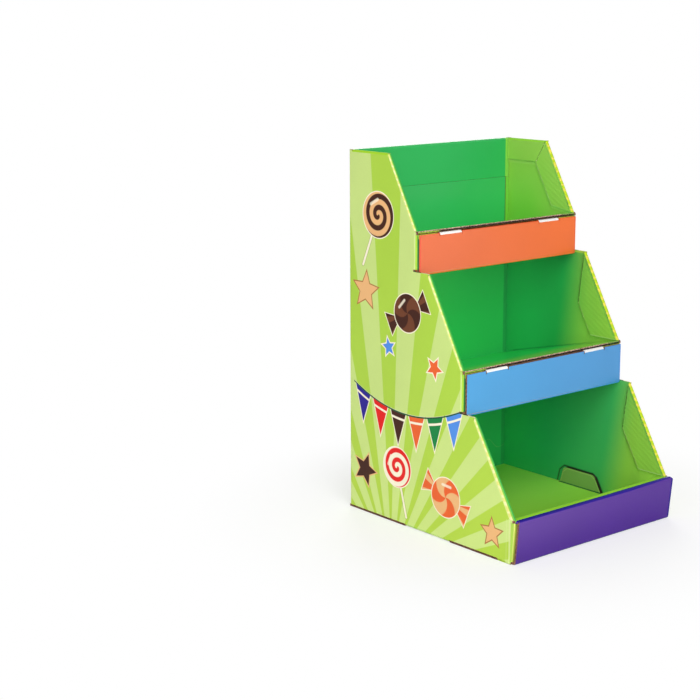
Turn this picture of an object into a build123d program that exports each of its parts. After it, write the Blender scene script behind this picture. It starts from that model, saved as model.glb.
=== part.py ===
from build123d import *
from math import asin, atan2, cos, degrees, radians, sin, sqrt, tan
import os

# A three-tier counter display folded from printed corrugated board, in millimetres.
# The middle of its footprint is the origin, the front faces -Y and it stands on Z = 0.
# In the side view a place is given as (depth, height), the depth measured forwards
# from the outer face of the back panel.

# Board and folds
board = 3.0  # thickness of the corrugated board
fold_radius = 0.6  # inside radius of an ordinary fold
hem_gap = 0.5  # air left between the two layers of an edge turned in flat
seat = 0.3  # gap left where one sheet rests on another
slip = 0.4  # side clearance of a sheet that slides between two panels

# Stepped sides, from the top of the back down to the foot of the front
width = 306.0
crown_depth = 82.8  # level top edge of each side panel
top_slope_run = 56.1
top_slope_rise = 101.0
top_lip_height = 51.4
top_step = 24.0  # level edge in front of the top lip's foot
middle_slope_run = 67.3
middle_slope_rise = 120.4
middle_lip_height = 55.0
middle_step = 22.3
bottom_slope_run = 69.9
bottom_slope_rise = 121.2
bottom_lip_height = 59.0

# Edges turned in
crown_hem = 31.4
back_hem = 57.0
top_slope_hem = 32.5
middle_slope_hem = 44.0
bottom_slope_hem = 40.5
hem_lead = 7.0  # degrees off upright of the upper end of a lower slope's hem
top_hem_foot_angle = 10.0  # degrees off level of the lower end of the top slope's hem
mitre_gap = 1.0  # between the crown's hem and the top slope's hem

# Flaps that the front edges of the sides fold into
flap_width = 38.0
flap_clearance = 0.9  # foot of a flap above the folded foot of its fascia
slit_run = 2.0  # how far that slit runs back past the fold
flap_drop = 2.4  # top of a flap below the head of its lip
corner_foot = 9.0  # part of the side by the front fold that reaches the table

# Locking tabs under the sides, folded up through the floor
lock_start = 120.0
lock_root = 87.5  # length of the fold on the table
lock_foot = 81.0  # length where the tab passes the floor
lock_shoulder = 7.0  # set-back of the head's rear end from the foot's
lock_head = 60.0
lock_height = 31.0
lock_corner = 9.0  # radius of the tab's upper corners
lock_clearance = 1.2

# Base tray with its rolled front lip
lip_lean = 6.0  # degrees that the front of the rolled lip leans out
lip_stand = 3.4  # gap between the flaps and the foot of the lip's front board
lip_inset = 2.5  # ends of the lip inside the outer faces of the sides
lip_corner = 3.0  # small cut at the lip's upper corners

# Sloping shelves
shelf_lift = 4.0  # back of a shelf's face above the foot of its lip
shelf_nose = 0.5  # lower front corner of a shelf past the front of the flaps

# Coloured fascias over the flaps
fascia_gap = 1.2  # between the flaps and the front board of a fascia
fascia_end_gap = 1.3  # between the end of a fascia and the side panel
fascia_drop = 0.4  # top edge below the top of the flaps
fascia_foot_drop = 1.0  # foot below the step of the sides
tab_width = 39.0
tab_offset = 1.6  # between the end of a flap and the tuck tab
tab_tail = 12.0  # length tucked down behind the front board
tab_crease_drop = 2.5  # crease of a tab below the fascia's top edge
tab_relief = 1.6  # slot cut at each end of a tab
tab_relief_depth = 1.2  # slot below the tab's crease

# Places that follow from the sizes above
middle_foot = bottom_lip_height + bottom_slope_rise
middle_head = middle_foot + middle_lip_height
top_foot = middle_head + middle_slope_rise
top_head = top_foot + top_lip_height
height = top_head + top_slope_rise

top_front = crown_depth + top_slope_run
top_step_end = top_front + top_step
middle_front = top_step_end + middle_slope_run
middle_step_end = middle_front + middle_step
bottom_front = middle_step_end + bottom_slope_run

inner_width = width - 2 * board
outer_bend = fold_radius + board
hem_bend = hem_gap / 2 + board
lining_face = 2 * board + hem_gap  # depth of the face that the tiers show at the back
tray_half = inner_width / 2 - slip  # half the width of a sheet that fits between the sides
floor_top = 2 * board + hem_gap
flap_slit = board - fascia_foot_drop + flap_clearance  # between a flap and its step
lock_end = lock_start + lock_root
lock_neck = lock_end - lock_foot

lean = radians(lip_lean)
lip_foot_depth = bottom_front + lip_stand + board / cos(lean)
lip_top_depth = lip_foot_depth + bottom_lip_height * tan(lean)
overall_depth = lip_top_depth - outer_bend * (tan(lean) + 1 / cos(lean) - 1)
tiny = 1e-6  # runs shorter than this are left out of an outline

side_view = Plane(origin=(0, overall_depth / 2, 0), x_dir=(0, -1, 0), z_dir=(-1, 0, 0))


def sheet_section(corners, inside=fold_radius):
    """Section of a folded sheet, from the corner points of its printed side.

    The board lies to the left of the walk from the first point to the last, and each
    corner becomes a bend with the given inside radius.
    """
    points = [Vector(*corner) for corner in corners]
    headings = [(after - before).normalized() for before, after in zip(points, points[1:])]
    start = points[0]
    edges = [Line(start, start + headings[0].rotate(Axis.Z, 90) * board)]
    for number, heading in enumerate(headings):
        corner = points[number + 1]
        across_board = heading.rotate(Axis.Z, 90)
        stop = corner
        if number + 1 < len(headings):
            following = headings[number + 1]
            turn = degrees(atan2(heading.cross(following).Z, heading.dot(following)))
            side = 1 if turn > 0 else -1
            radius = inside + board if turn > 0 else inside
            cutback = radius * tan(radians(abs(turn) / 2))
            stop = corner - heading * cutback
        if (stop - start).length > tiny:
            edges.append(Line(start, stop))
            edges.append(Line(start + across_board * board, stop + across_board * board))
        if number + 1 < len(headings):
            centre = stop + across_board * radius * side
            to_arc = (stop - centre).normalized()
            bearing = degrees(atan2(to_arc.Y, to_arc.X))
            edges.append(CenterArc(centre, radius, bearing, turn))
            edges.append(CenterArc(centre, radius - side * board, bearing, turn))
            start = corner + following * cutback
    edges.append(Line(corner, corner + across_board * board))
    return make_face(edges)


def polygon(*points):
    """Flat face with straight edges through the given points."""
    return make_face(Polyline(*points, close=True))


def patch(near, far, low, high):
    """Rectangle in the side view, between two depths and two heights."""
    return polygon((near, low), (far, low), (far, high), (near, high))


def across(face, outer, inner):
    """Carries a side-view face across the right half, from one place on X to another."""
    return extrude(side_view.offset(-outer) * face, amount=outer - inner)


def through(face, half):
    """Carries a side-view face across both halves of the display."""
    return extrude(side_view * face, amount=half, both=True)


def pair(solid):
    """A right-hand solid together with its mirror image on the left."""
    return [solid, mirror(solid, about=Plane.YZ)]


def direction(angle):
    """Unit vector in the side view; 0 points forwards and 90 points up."""
    return Vector(cos(radians(angle)), sin(radians(angle)))


def turned_in(fold_start, fold_end, outline, reach):
    """An edge of the right side panel turned in flat against the inner face.

    Returns what the fold takes away from the panel and the turned part itself. The
    outline is the side view of the turned part and may run past the fold.
    """
    middle = (fold_start + fold_end) * 0.5
    run = fold_end - fold_start
    inward = run.normalized().rotate(Axis.Z, 90)
    in_space = Vector(0, -inward.X, inward.Y)
    origin = side_view.from_local_coords(Vector(middle.X, middle.Y, -width / 2))
    fold_plane = Plane(origin=origin, x_dir=in_space, z_dir=in_space.cross(Vector(1, 0, 0)))
    stub = hem_bend + board
    section = sheet_section(
        [(stub, 0), (0, 0), (0, -2 * hem_bend), (reach, -2 * hem_bend)], inside=hem_gap / 2
    )
    window = across(outline, width / 2 + board, width / 2 - 3 * board)
    half_run = run.length / 2 + reach
    turned = extrude(fold_plane * section, amount=half_run, both=True) & window
    strip = polygon(
        (hem_bend, board), (-board, board), (-board, -2 * board), (hem_bend, -2 * board)
    )
    taken = extrude(fold_plane * strip, amount=half_run, both=True) & window
    return taken, turned


def hem(fold_start, fold_end, depth, start_cut, end_cut):
    """A hem along a straight edge, its ends cut along two inward directions."""
    inward = (fold_end - fold_start).normalized().rotate(Axis.Z, 90)
    free_start = fold_start + start_cut * (depth / start_cut.dot(inward))
    free_end = fold_end + end_cut * (depth / end_cut.dot(inward))
    outline = polygon(
        fold_start - start_cut * board, free_start, free_end, fold_end - end_cut * board
    )
    return turned_in(fold_start, fold_end, outline, depth + board)


def shelf_line(front, head, foot):
    """Where a sloping shelf lies: its back corner, its front corner and its slope.

    The underside clears the back upper corner of the flaps, and the back corner stands
    above the foot of the lip.
    """
    back = Vector(lining_face, foot + shelf_lift)
    rest = Vector(front - board, head - flap_drop + seat)
    reach = rest - back
    slope = atan2(reach.Y, reach.X) + asin(board / reach.length)
    length = (front + shelf_nose - board * sin(slope) - back.X) / cos(slope)
    nose = back + Vector(cos(slope), sin(slope)) * length
    return back, nose, slope


def under_shelf(front, head, foot):
    """Height just under the folded back corner of a sloping shelf."""
    back, nose, slope = shelf_line(front, head, foot)
    cutback = fold_radius * tan((radians(90) + slope) / 2)
    sag = sqrt(outer_bend**2 - fold_radius**2)
    return back.Y + cutback - sag - seat


def side_outline():
    """Side view of a side panel before its edges are folded."""
    return polygon(
        (0, board),
        (bottom_front - corner_foot, board),
        (bottom_front - corner_foot, 0),
        (bottom_front, 0),
        (bottom_front, bottom_lip_height),
        (middle_step_end, middle_foot),
        (middle_front, middle_foot),
        (middle_front, middle_head),
        (top_step_end, top_foot),
        (top_front, top_foot),
        (top_front, top_head),
        (crown_depth, height),
        (0, height),
    )


def crown_and_top_hems():
    """Hems of the level crown and the top slope, which meet in a mitre."""
    corner = Vector(crown_depth, height)
    down_slope = Vector(top_slope_run, -top_slope_rise).normalized()
    to_back = Vector(-1, 0)
    mitre = (down_slope + to_back).normalized()
    shift = mitre_gap / 2 / mitre.cross(to_back).length
    nose = shelf_line(top_front, top_head, top_foot)[1]
    foot = corner + down_slope * ((height - nose.Y - seat) / -down_slope.Y)
    crown = hem(
        corner + to_back * shift,
        Vector(lining_face + slip, height),
        crown_hem,
        mitre,
        Vector(0, -1),
    )
    slope = hem(
        foot,
        corner + down_slope * shift,
        top_slope_hem,
        direction(180 - top_hem_foot_angle),
        mitre,
    )
    return [crown, slope]


def lower_hem(step_end, foot, front, head, hem_foot, depth):
    """Hem of a lower slope, from the step's corner down to just above the lip."""
    top = Vector(step_end, foot)
    down_slope = (Vector(front, head) - top).normalized()
    bottom = top + down_slope * ((foot - hem_foot) / -down_slope.Y)
    return hem(bottom, top, depth, Vector(-1, 0), direction(-90 - hem_lead))


def lock_tab():
    """Tab under a side panel, folded up inside so that it locks the floor."""
    head_start = lock_neck + lock_shoulder
    outline = polygon(
        (lock_start, -board),
        (lock_end, -board),
        (lock_end, floor_top),
        (head_start + lock_head, lock_height),
        (head_start, lock_height),
        (lock_neck, board),
        (lock_start, board),
    )
    upper = outline.vertices().sort_by(Axis.Y)[-2:]
    outline = fillet(upper, lock_corner)
    return turned_in(Vector(lock_start, 0), Vector(lock_end, 0), outline, lock_height + board)


def side_flap(front, low, high):
    """Flap folded in from the front edge of the right side panel, and its recess."""
    face_y = overall_depth / 2 - front
    section = sheet_section(
        [
            (width / 2 - flap_width, face_y),
            (width / 2, face_y),
            (width / 2, face_y + outer_bend + board),
        ]
    )
    flap = extrude(Plane.XY.offset(low) * section, amount=high - low)
    recess = across(patch(front - outer_bend, front + board, low, high), width / 2, inner_width / 2)
    return recess, flap


def flap_slot(front, foot):
    """Slit that frees the foot of a flap from the step under it."""
    slot = patch(front - outer_bend - slit_run, front + board, foot, foot + flap_slit)
    return across(slot, width / 2, inner_width / 2)


def back_hem_fold():
    """Wide hem folded in along the top of the back panel, and the strip it replaces."""
    half = width / 2 - outer_bend - slip
    section = sheet_section(
        [
            (lining_face, height - back_hem),
            (lining_face, height),
            (0, height),
            (0, height - hem_bend - board),
        ],
        inside=hem_gap / 2,
    )
    strip = patch(-board, board, height - hem_bend, height + board)
    return through(strip, half), through(section, half)


def make_body():
    """Back panel and both stepped sides, one sheet with hems, flaps and locking tabs."""
    back_y = overall_depth / 2
    front_y = back_y - bottom_front
    wrap = sheet_section(
        [(width / 2, front_y), (width / 2, back_y), (-width / 2, back_y), (-width / 2, front_y)]
    )
    solid = extrude(wrap, amount=height) & through(side_outline(), width)

    middle_nose = shelf_line(middle_front, middle_head, middle_foot)[1]
    folds = crown_and_top_hems()
    folds.append(
        lower_hem(
            top_step_end, top_foot, middle_front, middle_head, middle_nose.Y + seat, middle_slope_hem
        )
    )
    folds.append(
        lower_hem(
            middle_step_end,
            middle_foot,
            bottom_front,
            bottom_lip_height,
            bottom_lip_height + seat,
            bottom_slope_hem,
        )
    )
    folds.append(lock_tab())
    folds.append(side_flap(top_front, top_foot + flap_slit, top_head - flap_drop))
    folds.append(side_flap(middle_front, middle_foot + flap_slit, middle_head - flap_drop))
    folds.append(side_flap(bottom_front, board + seat, bottom_lip_height - board - seat))

    for slot in (flap_slot(top_front, top_foot), flap_slot(middle_front, middle_foot)):
        solid -= pair(slot)
    for taken, turned in folds:
        solid -= pair(taken)
        solid += pair(turned)
    taken, turned = back_hem_fold()
    return solid - taken + turned


def make_base_tray():
    """Bottom board, rolled front lip, inner floor and back lining, one sheet."""
    flap_back = bottom_front - board
    return_face = flap_back - seat - board
    lining_top = under_shelf(middle_front, middle_head, middle_foot)
    section = sheet_section(
        [
            (0, 0),
            (lip_foot_depth, 0),
            (lip_top_depth, bottom_lip_height),
            (return_face, bottom_lip_height),
            (return_face, floor_top),
            (lining_face, floor_top),
            (lining_face, lining_top),
        ]
    )
    solid = through(section, width / 2)

    gap_height = board + hem_gap / 2
    far = overall_depth + board
    high = lining_top + board
    upper = patch(-board, bottom_front + slip, gap_height, high)
    solid -= pair(across(upper, width, tray_half))
    corner = patch(bottom_front - corner_foot - slip, bottom_front + slip, -board, gap_height)
    solid -= pair(across(corner, width, tray_half))
    lip_end = patch(bottom_front + slip, far, -board, high)
    solid -= pair(across(lip_end, width, width / 2 - lip_inset))

    tab_face = width / 2 - 2 * hem_bend - lock_clearance
    away = lock_end + lock_clearance
    lower_notch = patch(lock_start - lock_clearance, away, -board, gap_height)
    floor_notch = patch(lock_neck - lock_clearance, away, gap_height, floor_top + board)
    solid -= pair(across(lower_notch, width, tab_face))
    solid -= pair(across(floor_notch, width, tab_face))

    cut_top = bottom_lip_height + board
    cut_end = width / 2 - lip_inset + board
    corner_cut = polygon(
        (cut_end, cut_top),
        (cut_end - lip_corner - 2 * board, cut_top),
        (cut_end, cut_top - lip_corner - 2 * board),
    )
    front_view = Plane(origin=(0, overall_depth / 2 - far, 0), x_dir=(1, 0, 0), z_dir=(0, -1, 0))
    snip = extrude(front_view * corner_cut, amount=-(far - bottom_front - slip))
    return solid - pair(snip)


def make_shelf(front, head, foot, lining_top):
    """Sloping shelf with its back lining turned up, one sheet."""
    back, nose, slope = shelf_line(front, head, foot)
    section = sheet_section([nose, back, (lining_face, lining_top)])
    return through(section, tray_half)


def make_fascia(front, head, foot):
    """Coloured board in front of the flaps, folded under them and up behind them.

    Two tabs at its top edge fold back and tuck down behind the front board.
    """
    flap_top = head - flap_drop
    front_face = front + fascia_gap + board
    back_face = front - 2 * board - seat
    top = flap_top - fascia_drop
    low = foot - fascia_foot_drop
    back, nose, slope = shelf_line(front, head, foot)
    shelf_under = back.Y + (back_face - back.X) * tan(slope) - board / cos(slope)
    section = sheet_section(
        [
            (back_face, shelf_under - seat),
            (back_face, low),
            (front_face, low),
            (front_face, top),
        ]
    )
    solid = through(section, inner_width / 2 - fascia_end_gap)

    crease = top - tab_crease_drop
    turned = front_face - 2 * hem_bend
    tab_section = sheet_section(
        [
            (front_face, crease - board),
            (front_face, crease + hem_bend),
            (turned, crease + hem_bend),
            (turned, crease - tab_tail),
        ],
        inside=hem_gap / 2,
    )
    tab_outer = width / 2 - flap_width - tab_offset
    tab_inner = tab_outer - tab_width
    front_board = (front_face - board - hem_gap / 2, front_face + board)
    opening = patch(*front_board, crease, top + board)
    solid -= pair(across(opening, tab_outer + tab_relief, tab_inner - tab_relief))
    relief = patch(*front_board, crease - tab_relief_depth, crease)
    solid -= pair(across(relief, tab_outer + tab_relief, tab_outer))
    solid -= pair(across(relief, tab_inner, tab_inner - tab_relief))
    return solid + pair(across(tab_section, tab_outer, tab_inner))


top_tier = (top_front, top_head, top_foot)
middle_tier = (middle_front, middle_head, middle_foot)
nodes = {
    "body": make_body(),
    "base_tray": make_base_tray(),
    "middle_shelf": make_shelf(*middle_tier, under_shelf(*top_tier)),
    "top_shelf": make_shelf(*top_tier, height - back_hem - seat),
    "middle_fascia": make_fascia(*middle_tier),
    "top_fascia": make_fascia(*top_tier),
}

os.makedirs("parts", exist_ok=True)
for name, shape in nodes.items():
    export_step(shape, f"parts/{name}.step")
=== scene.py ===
# %% [markdown]
# # A cardboard display stand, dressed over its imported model
#
# The stand is folded from printed corrugated board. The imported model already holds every
# sheet with its true thickness, folds, flaps and slits. This file gives each sheet its
# print, its varnish, its creases and its fluted raw edges, lets four of them settle by a
# few millimetres, and then lights and frames them.
#
# All lengths in Blender are metres. Print is laid out in millimetres, because that is how
# a box maker draws it.

import math

import bpy
import numpy as np
from mathutils import Matrix, Vector
from mathutils.bvhtree import BVHTree


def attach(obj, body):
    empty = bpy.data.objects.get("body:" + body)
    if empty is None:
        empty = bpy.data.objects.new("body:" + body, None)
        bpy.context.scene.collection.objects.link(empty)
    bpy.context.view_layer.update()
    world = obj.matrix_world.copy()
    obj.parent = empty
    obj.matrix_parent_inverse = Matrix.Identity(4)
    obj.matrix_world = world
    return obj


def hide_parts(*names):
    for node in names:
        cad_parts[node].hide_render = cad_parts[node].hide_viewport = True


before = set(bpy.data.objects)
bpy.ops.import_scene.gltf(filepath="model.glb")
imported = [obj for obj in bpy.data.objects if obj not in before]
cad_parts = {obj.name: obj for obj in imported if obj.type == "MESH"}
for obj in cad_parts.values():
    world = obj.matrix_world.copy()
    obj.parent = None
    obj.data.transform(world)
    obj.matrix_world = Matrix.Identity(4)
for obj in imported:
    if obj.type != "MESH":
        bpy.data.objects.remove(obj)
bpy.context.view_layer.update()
print("sheets:", sorted(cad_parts))

# %% [markdown]
# ## Sizes that the print needs
#
# Print is placed from the same drawing as the sheets: depths are counted forwards from the
# back panel, heights from the table. A handful of them is repeated here.

# %% Sizes of the folded sheets
MM = 0.001
BOARD = 3.0
FLUTE = 6.4  # pitch of the corrugated core
HEIGHT, HALF_WIDTH = 508.0, 153.0
BACK = 167.31  # place of the back panel's outer face on Y
TOP_FOOT, TOP_HEAD, TOP_FRONT = 355.6, 407.0, 138.9
MIDDLE_FOOT, MIDDLE_HEAD, MIDDLE_FRONT = 180.2, 235.2, 230.2
LIP_TOP, LIP_FRONT = 59.0, 322.4
HEM_FACE = 146.5  # the turned-in edges lie this far from the middle
CROWN_HEM = 476.6  # foot of the crown's turned-in edge
BACK_HEM = HEIGHT - 57.0  # foot of the back's turned-in edge
HEM_FLUTES = math.radians(148)  # direction of the flutes in a slope's turned-in edge
LINING_DEPTH = 7.2  # the linings lie behind this depth
LINING_END = 142.8  # where the linings' green print ends on the right
TOP_LINING = 356.0  # above this height the lining is the top tier's
print("tiers begin at heights", 0, MIDDLE_FOOT, TOP_FOOT)

# %% [markdown]
# ## The camera
#
# The view comes from the photograph's own perspective: the straight edges of the stand
# fix where the lens was, how far it was turned and how long it was. A camera in Blender
# looks along its own -Z, so its three axes are written out as the columns of a matrix.

# %% Place the camera
CAMERA_POINT = (-1.5282, -1.5085, 0.6985)
CAMERA_ANGLES = (-39.394, 12.252, -0.226)  # azimuth, elevation and roll in degrees


def camera_axes(azimuth, elevation, roll):
    """Right, up and back directions of a camera, from angles in degrees.

    Azimuth turns about Z from looking along +Y, elevation lifts the camera over the
    table, and roll turns the picture about the line of sight.
    """
    a, e, r = np.radians([azimuth, elevation, roll])
    back = np.array([np.sin(a) * np.cos(e), -np.cos(a) * np.cos(e), np.sin(e)])
    right = np.cross([0, 0, 1], back)
    right /= np.linalg.norm(right)
    up = np.cross(back, right)
    return np.cos(r) * right + np.sin(r) * up, np.cos(r) * up - np.sin(r) * right, back


def add_object(name, data):
    """An object around a mesh, a camera or a lamp, linked into the scene."""
    made = bpy.data.objects.new(name, data)
    bpy.context.scene.collection.objects.link(made)
    return made


camera = add_object("camera", bpy.data.cameras.new("camera"))
bpy.context.scene.camera = camera
camera.data.sensor_width = 36.0
camera.data.lens = 81.40
camera.data.clip_end = 20.0
turn = np.identity(4)
turn[:3, :3] = np.column_stack(camera_axes(*CAMERA_ANGLES))
turn[:3, 3] = CAMERA_POINT
camera.matrix_world = Matrix(turn.tolist())
print("camera stands", round(float(np.linalg.norm(CAMERA_POINT)), 2), "m from the origin")

# %% [markdown]
# ## Formulas as materials
#
# A printed pattern is a formula over the surface: a sunburst is an angle, a disc is a
# distance. Blender builds such formulas from nodes. The small class below lets ordinary
# arithmetic make those nodes, so that each pattern can be read as its formula.

# %% A number that varies over a surface
def add_node(tree, kind, inputs=(), output=0, **settings):
    """A node's output as a field; its inputs are fed by fields, numbers or colours."""
    node = tree.nodes.new("ShaderNode" + kind)
    for name, value in settings.items():
        setattr(node, name, value)
    for place, value in dict(inputs).items():
        if isinstance(value, Field):
            tree.links.new(value.socket, node.inputs[place])
        else:
            node.inputs[place].default_value = value
    return Field(node.outputs[output])


class Field:
    """The output of a node; arithmetic on it adds Math nodes to the same material."""

    def __init__(self, socket):
        self.socket = socket
        self.tree = socket.id_data

    def make(self, operation, *others):
        """One Math node of this operation, fed by this field and the others."""
        return add_node(self.tree, "Math", enumerate((self,) + others), operation=operation)

    def __add__(self, other):
        return self.make("ADD", other)

    def __sub__(self, other):
        return self.make("SUBTRACT", other)

    def __mul__(self, other):
        return self.make("MULTIPLY", other)

    def __truediv__(self, other):
        return self.make("DIVIDE", other)

    def __neg__(self):
        return self.make("MULTIPLY", -1.0)

    def __abs__(self):
        return self.make("ABSOLUTE")


print("a field can be added, subtracted, multiplied and divided")

# %% [markdown]
# A shape in print is a signed distance: below zero inside it, above zero outside. The next
# helpers turn distances and levels into shares from 0 to 1. Printed edges get a soft rim
# of a fraction of a millimetre, so that they don't shimmer when they are rendered small.

# %% Steps and edges
def ramp(field, start, end, kind="LINEAR"):
    """0 up to start, 1 from end, and a straight or smooth rise between."""
    inputs = {"Value": field, "From Min": start, "From Max": end}
    return add_node(field.tree, "MapRange", inputs, interpolation_type=kind)


def step(field, start, end):
    """0 up to start, 1 from end, and a smooth rise between: 3t^2 - 2t^3."""
    return ramp(field, start, end, "SMOOTHSTEP")


def inside(distance, edge=0.2):
    """1 where a signed distance is below zero; it fades over edge mm on both sides."""
    return ramp(distance, edge, -edge)


def above(field, level):
    """1 where a field is over a level."""
    return inside(-field + level)


def below(field, level, edge=0.2):
    """1 where a field is under a level."""
    return inside(field - level, edge)


def band(field, middle, half, edge=0.2):
    """1 where a field is within half of a middle value."""
    return inside(abs(field - middle) - half, edge)


def flip(share):
    """The rest of a whole: 1 - share."""
    return -share + 1.0


print("an edge in print is soft over 0.2 mm to each side")

# %% [markdown]
# Signed distances are easy to put together. The smaller of two is both shapes joined, the
# larger is what they have in common, and a ring round a centre starts from a length.

# %% Shapes put together
def least(field, *others):
    """The smallest of some fields: the distance to the nearest of some shapes."""
    for other in others:
        field = field.make("MINIMUM", other)
    return field


def most(field, *others):
    """The largest of some fields: the distance to what some shapes have in common."""
    for other in others:
        field = field.make("MAXIMUM", other)
    return field


def length(u, v):
    """Distance of (u, v) from zero: the root of u^2 + v^2."""
    return (u * u + v * v).make("SQRT")


print("shapes can be joined, cut and measured")

# %% [markdown]
# Colours are easier to choose as 0-255 screen values, but a node wants linear light. The
# next helpers turn one into the other, lay inks over each other, and make cloudy noise.

# %% Inks and noise
def ink(red, green, blue):
    """A printed colour, given as 0-255 screen values, as the linear colour of a node."""
    share = np.array([red, green, blue]) / 255
    linear = np.where(share <= 0.04045, share / 12.92, ((share + 0.055) / 1.055) ** 2.4)
    return (*linear.tolist(), 1.0)


def over(amount, under, upper):
    """The upper colour laid over the one under it, where amount is 1."""
    inputs = {0: amount, 6: under, 7: upper}  # a Mix node keeps its colours at 6 and 7
    return add_node(amount.tree, "Mix", inputs, 2, data_type="RGBA")


def layers(colour, *coats):
    """Each coat, an (amount, ink) pair, laid over the colour in turn."""
    for amount, shade in coats:
        colour = over(amount, colour, shade)
    return colour


def noise(place, scale, detail=2.0):
    """Cloudy noise from 0 to 1; scale counts its lumps in a millimetre."""
    inputs = {"Vector": place, "Scale": scale, "Detail": detail}
    return add_node(place.tree, "TexNoise", inputs, "Fac")


LIME, PALE_LIME, WALL_LIME = ink(172, 209, 70), ink(198, 221, 130), ink(146, 202, 72)
BROWN, COCOA = ink(62, 26, 12), ink(108, 60, 36)
TAN, CARAMEL, CREAM = ink(235, 182, 124), ink(176, 116, 64), ink(248, 238, 214)
ORANGE, RED, DARK_GREEN = ink(232, 98, 44), ink(226, 24, 22), ink(14, 128, 62)
NAVY, BLUE = ink(40, 28, 142), ink(80, 142, 226)
print("lime ink:", [round(v, 3) for v in LIME[:3]])

# %% [markdown]
# ## One recipe for every sheet
#
# All the sheets share a build: a paper liner with ink and a clear varnish on it. The ink
# differs from place to place, and is passed in as a function. The liner follows the flutes
# of the core very slightly, which real board shows as faint parallel ripples, so the bump
# is a shallow wave, a slow bow of the panel, and fine paper grain on top.

# %% The recipe
CLOUDS, FIBRES, BOWS = 0.011, 0.9, 0.009  # lumps in a millimetre
FIBRE_HEIGHT, BOW_HEIGHT = 12.0, 260.0  # micrometres


def split(vector):
    """The x, y and z of a vector field."""
    node = add_node(vector.tree, "SeparateXYZ", {0: vector}).socket.node
    return [Field(socket) for socket in node.outputs]


class Place:
    """Where on the stand a point is, in millimetres, for a paint function."""

    def __init__(self, tree):
        metres = add_node(tree, "TexCoord", output="Object")
        inputs = {0: metres, "Scale": 1 / MM}
        self.point = add_node(tree, "VectorMath", inputs, operation="SCALE")
        self.x, y, self.z = split(self.point)
        self.depth = -y + BACK
        self.side = abs(self.x)


def board_material(name, paint, ripple, roughness=0.4, coat=0.5, grain=1.0, gloss=0.35):
    """A sheet's material; paint(at) is its colour, ripple(at) its height in micrometres."""
    material = bpy.data.materials.new(name)
    material.use_nodes = True
    tree = material.node_tree
    tree.nodes.clear()
    at = Place(tree)
    clouds, fibres = noise(at.point, CLOUDS, 3.0), noise(at.point, FIBRES, 4.0)
    value = step(clouds, 0.2, 0.8) * 0.05 + step(fibres, 0.3, 0.7) * 0.03 + 0.96
    height = ripple(at) + fibres * (FIBRE_HEIGHT * grain)
    height = height + noise(at.point, BOWS, 1.0) * BOW_HEIGHT
    bump = add_node(tree, "Bump", {"Distance": 1e-6, "Height": height})
    finish = {
        "Base Color": add_node(tree, "HueSaturation", {"Value": value, "Color": paint(at)}),
        "Roughness": fibres * 0.14 + clouds * 0.06 + (roughness - 0.1),
        "Specular IOR Level": gloss,
        "Coat Weight": coat,
        "Coat Roughness": 0.18,
        "Normal": bump,
        "Coat Normal": bump,
    }
    shader = add_node(tree, "BsdfPrincipled", finish)
    tree.links.new(shader.socket, tree.nodes.new("ShaderNodeOutputMaterial").inputs["Surface"])
    return material


print("paper fibres are", FIBRE_HEIGHT, "micrometres high")

# %% [markdown]
# The flutes run one way in each sheet, and the liner's ripples follow them. The body's
# stand upright, so that it carries weight; the shelves and linings have theirs across.

# %% Ripples of the flutes
RIPPLE = 9.0  # micrometres


def wave(distance):
    """The washboard of the flutes: cos(2 pi distance / pitch)."""
    return (distance * (2 * math.pi / FLUTE)).make("COSINE")


def upright_flutes(at):
    """Side panels: flutes stand upright, so the wave runs over the depth."""
    return wave(at.depth) * RIPPLE


def lengthwise_flutes(at):
    """Back, shelves and linings: the wave runs over the width."""
    return wave(at.x) * RIPPLE


print("flute ripples every", FLUTE, "mm")

# %% [markdown]
# ## Lines that follow an edge
#
# Creases, perforations and the worn rims of the turned-in edges are all lines from one
# corner of a sheet to another. A line's formula is the distance to a segment: the point is
# projected onto it, the projection is kept between its ends, and the rest is measured.

# %% Distance to a segment
def from_line(u, v, start, end):
    """Distance in mm from the segment start-end in the (u, v) drawing."""
    run, climb = end[0] - start[0], end[1] - start[1]
    reach = run * run + climb * climb
    du, dv = u - start[0], v - start[1]
    along = least(most(du * (run / reach) + dv * (climb / reach), 0.0), 1.0)
    return length(du - along * run, dv - along * climb)


def from_lines(at, segments):
    """Distance in mm from the nearest of some segments in the side view."""
    return least(*[from_line(at.depth, at.z, *ends) for ends in segments])


def lines(at, width, segments):
    """1 within half the width of any of the segments in the side view."""
    return inside(from_lines(at, segments) - width / 2, 0.15)


def chain(*points):
    """The segments of a line through some points."""
    return list(zip(points, points[1:]))


SLOPES = [
    ((83.0, HEIGHT), (TOP_FRONT, 407.3)),
    ((162.3, TOP_FOOT), (MIDDLE_FRONT, MIDDLE_HEAD)),
    ((251.9, MIDDLE_FOOT), (LIP_FRONT, 59.3)),
]
print("slopes:", SLOPES)

# %% [markdown]
# ## The outside: a sunburst
#
# Both sides carry pale rays that fan out from a point below the table. In polar terms
# about that point, a ray is a band where the angle is near a multiple of 11.6 degrees.
# Its half width in millimetres grows with the radius, from 2.2 mm.

# %% Sunburst
RAY_CENTRE = (90.5, -68.9)
RAY_STRETCH = 1.04
RAY_STEP = math.radians(11.6)
RAY_FIRST = math.radians(85.4)
RAY_HALF, RAY_GROWTH = 2.2, 0.0443


def sunburst(across, z, centre=RAY_CENTRE):
    """1 in a ray: |r * (angle - nearest ray's angle)| < 2.2 + 0.0443 r."""
    u = (across - centre[0]) / RAY_STRETCH
    v = z - centre[1]
    turns = (v.make("ARCTAN2", u) - RAY_FIRST) / RAY_STEP
    offset = abs(turns - turns.make("ROUND")) * RAY_STEP
    radius = length(u, v)
    return inside(offset * radius - (radius * RAY_GROWTH + RAY_HALF), 0.35)


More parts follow.
